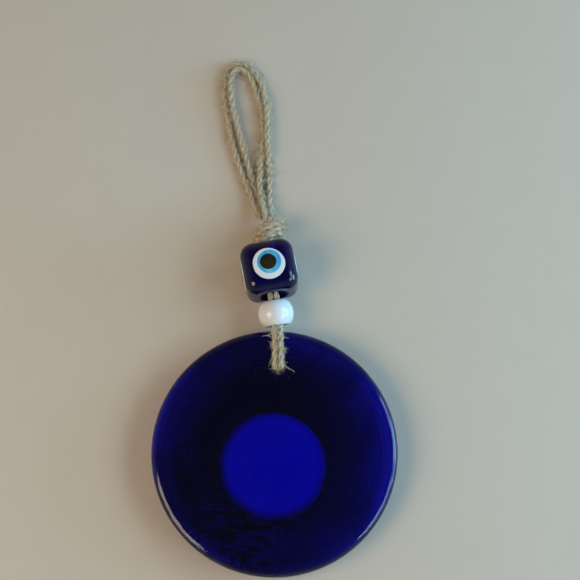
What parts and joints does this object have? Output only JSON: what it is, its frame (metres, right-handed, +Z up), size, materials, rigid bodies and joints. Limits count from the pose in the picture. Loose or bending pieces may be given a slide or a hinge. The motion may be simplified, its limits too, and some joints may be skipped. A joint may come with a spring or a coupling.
{
  "type": "evil eye ornament",
  "caption": "Flat round cobalt glass pendant with a layered eye, a round white bead and a soft cube bead with eyes, on a knotted jute hanging loop.",
  "frame": {"origin": "under the disc's centre, on the plane of the eye's flat boss that the ornament lies on", "axes": "+Z up out of the disc's back, +Y from the disc towards the hanging loop"},
  "size_m": [0.08, 0.1814, 0.0187],
  "materials": {
    "cobalt_glass": "clear, glossy, pressed",
    "white_glass": "opaque milk glass, glossy",
    "light_blue_glass": "opaque glass, glossy",
    "dark_glass": "opaque glass, glossy",
    "jute": "two-ply natural jute, hairy"
  },
  "bodies": {
    "disc": {"disc_glass": "cobalt_glass", "disc_eye_white": "white_glass", "disc_eye_blue": "light_blue_glass", "disc_eye_pupil": "dark_glass"},
    "sling": {"sling_twine_left": "jute", "sling_twine_right": "jute"},
    "stem": {"stem_strand_left_upper": "jute", "stem_strand_left_lower": "jute", "stem_strand_right_upper": "jute", "stem_strand_right_lower": "jute", "knot": "jute"},
    "white_bead": {"white_bead": "white_glass"},
    "cube_bead": {"cube_bead": "cobalt_glass", "cube_eye_top_white": "white_glass", "cube_eye_top_blue": "light_blue_glass", "cube_eye_top_pupil": "dark_glass", "cube_eye_right_white": "white_glass", "cube_eye_right_blue": "light_blue_glass", "cube_eye_right_pupil": "dark_glass", "cube_eye_bottom_white": "white_glass", "cube_eye_bottom_blue": "light_blue_glass", "cube_eye_bottom_pupil": "dark_glass", "cube_eye_left_white": "white_glass", "cube_eye_left_blue": "light_blue_glass", "cube_eye_left_pupil": "dark_glass"},
    "hanger": {"hanger_twine_outer": "jute", "hanger_twine_inner": "jute"}
  },
  "joints": [
    {"name": "disc_swing", "type": "hinge", "parent": "disc", "child": "sling", "pos_m": [0, 0.0275, 0.006], "axis": [0, 0, 1], "range_deg": [-10, 8]},
    {"name": "stem_fold", "type": "hinge", "parent": "sling", "child": "stem", "pos_m": [-0.00071, 0.04108, 0.00605], "axis": [0.9986, 0.0523, 0], "range_deg": [-25, 15], "deforming": ["sling_twine_left", "sling_twine_right"]},
    {"name": "white_bead_spin", "type": "hinge", "parent": "stem", "child": "white_bead", "pos_m": [-0.00153, 0.04631, 0.00669], "axis": [-0.1801, 0.9719, 0.1513], "continuous": true},
    {"name": "cube_bead_spin", "type": "hinge", "parent": "stem", "child": "cube_bead", "pos_m": [-0.0043, 0.0603, 0.00935], "axis": [-0.225, 0.9744, 0], "continuous": true},
    {"name": "hanger_fold", "type": "hinge", "parent": "stem", "child": "hanger", "pos_m": [-0.0061, 0.0806, 0.0046], "axis": [1, 0, 0], "range_deg": [-30, 90], "deforming": ["hanger_twine_outer", "hanger_twine_inner"]}
  ]
}
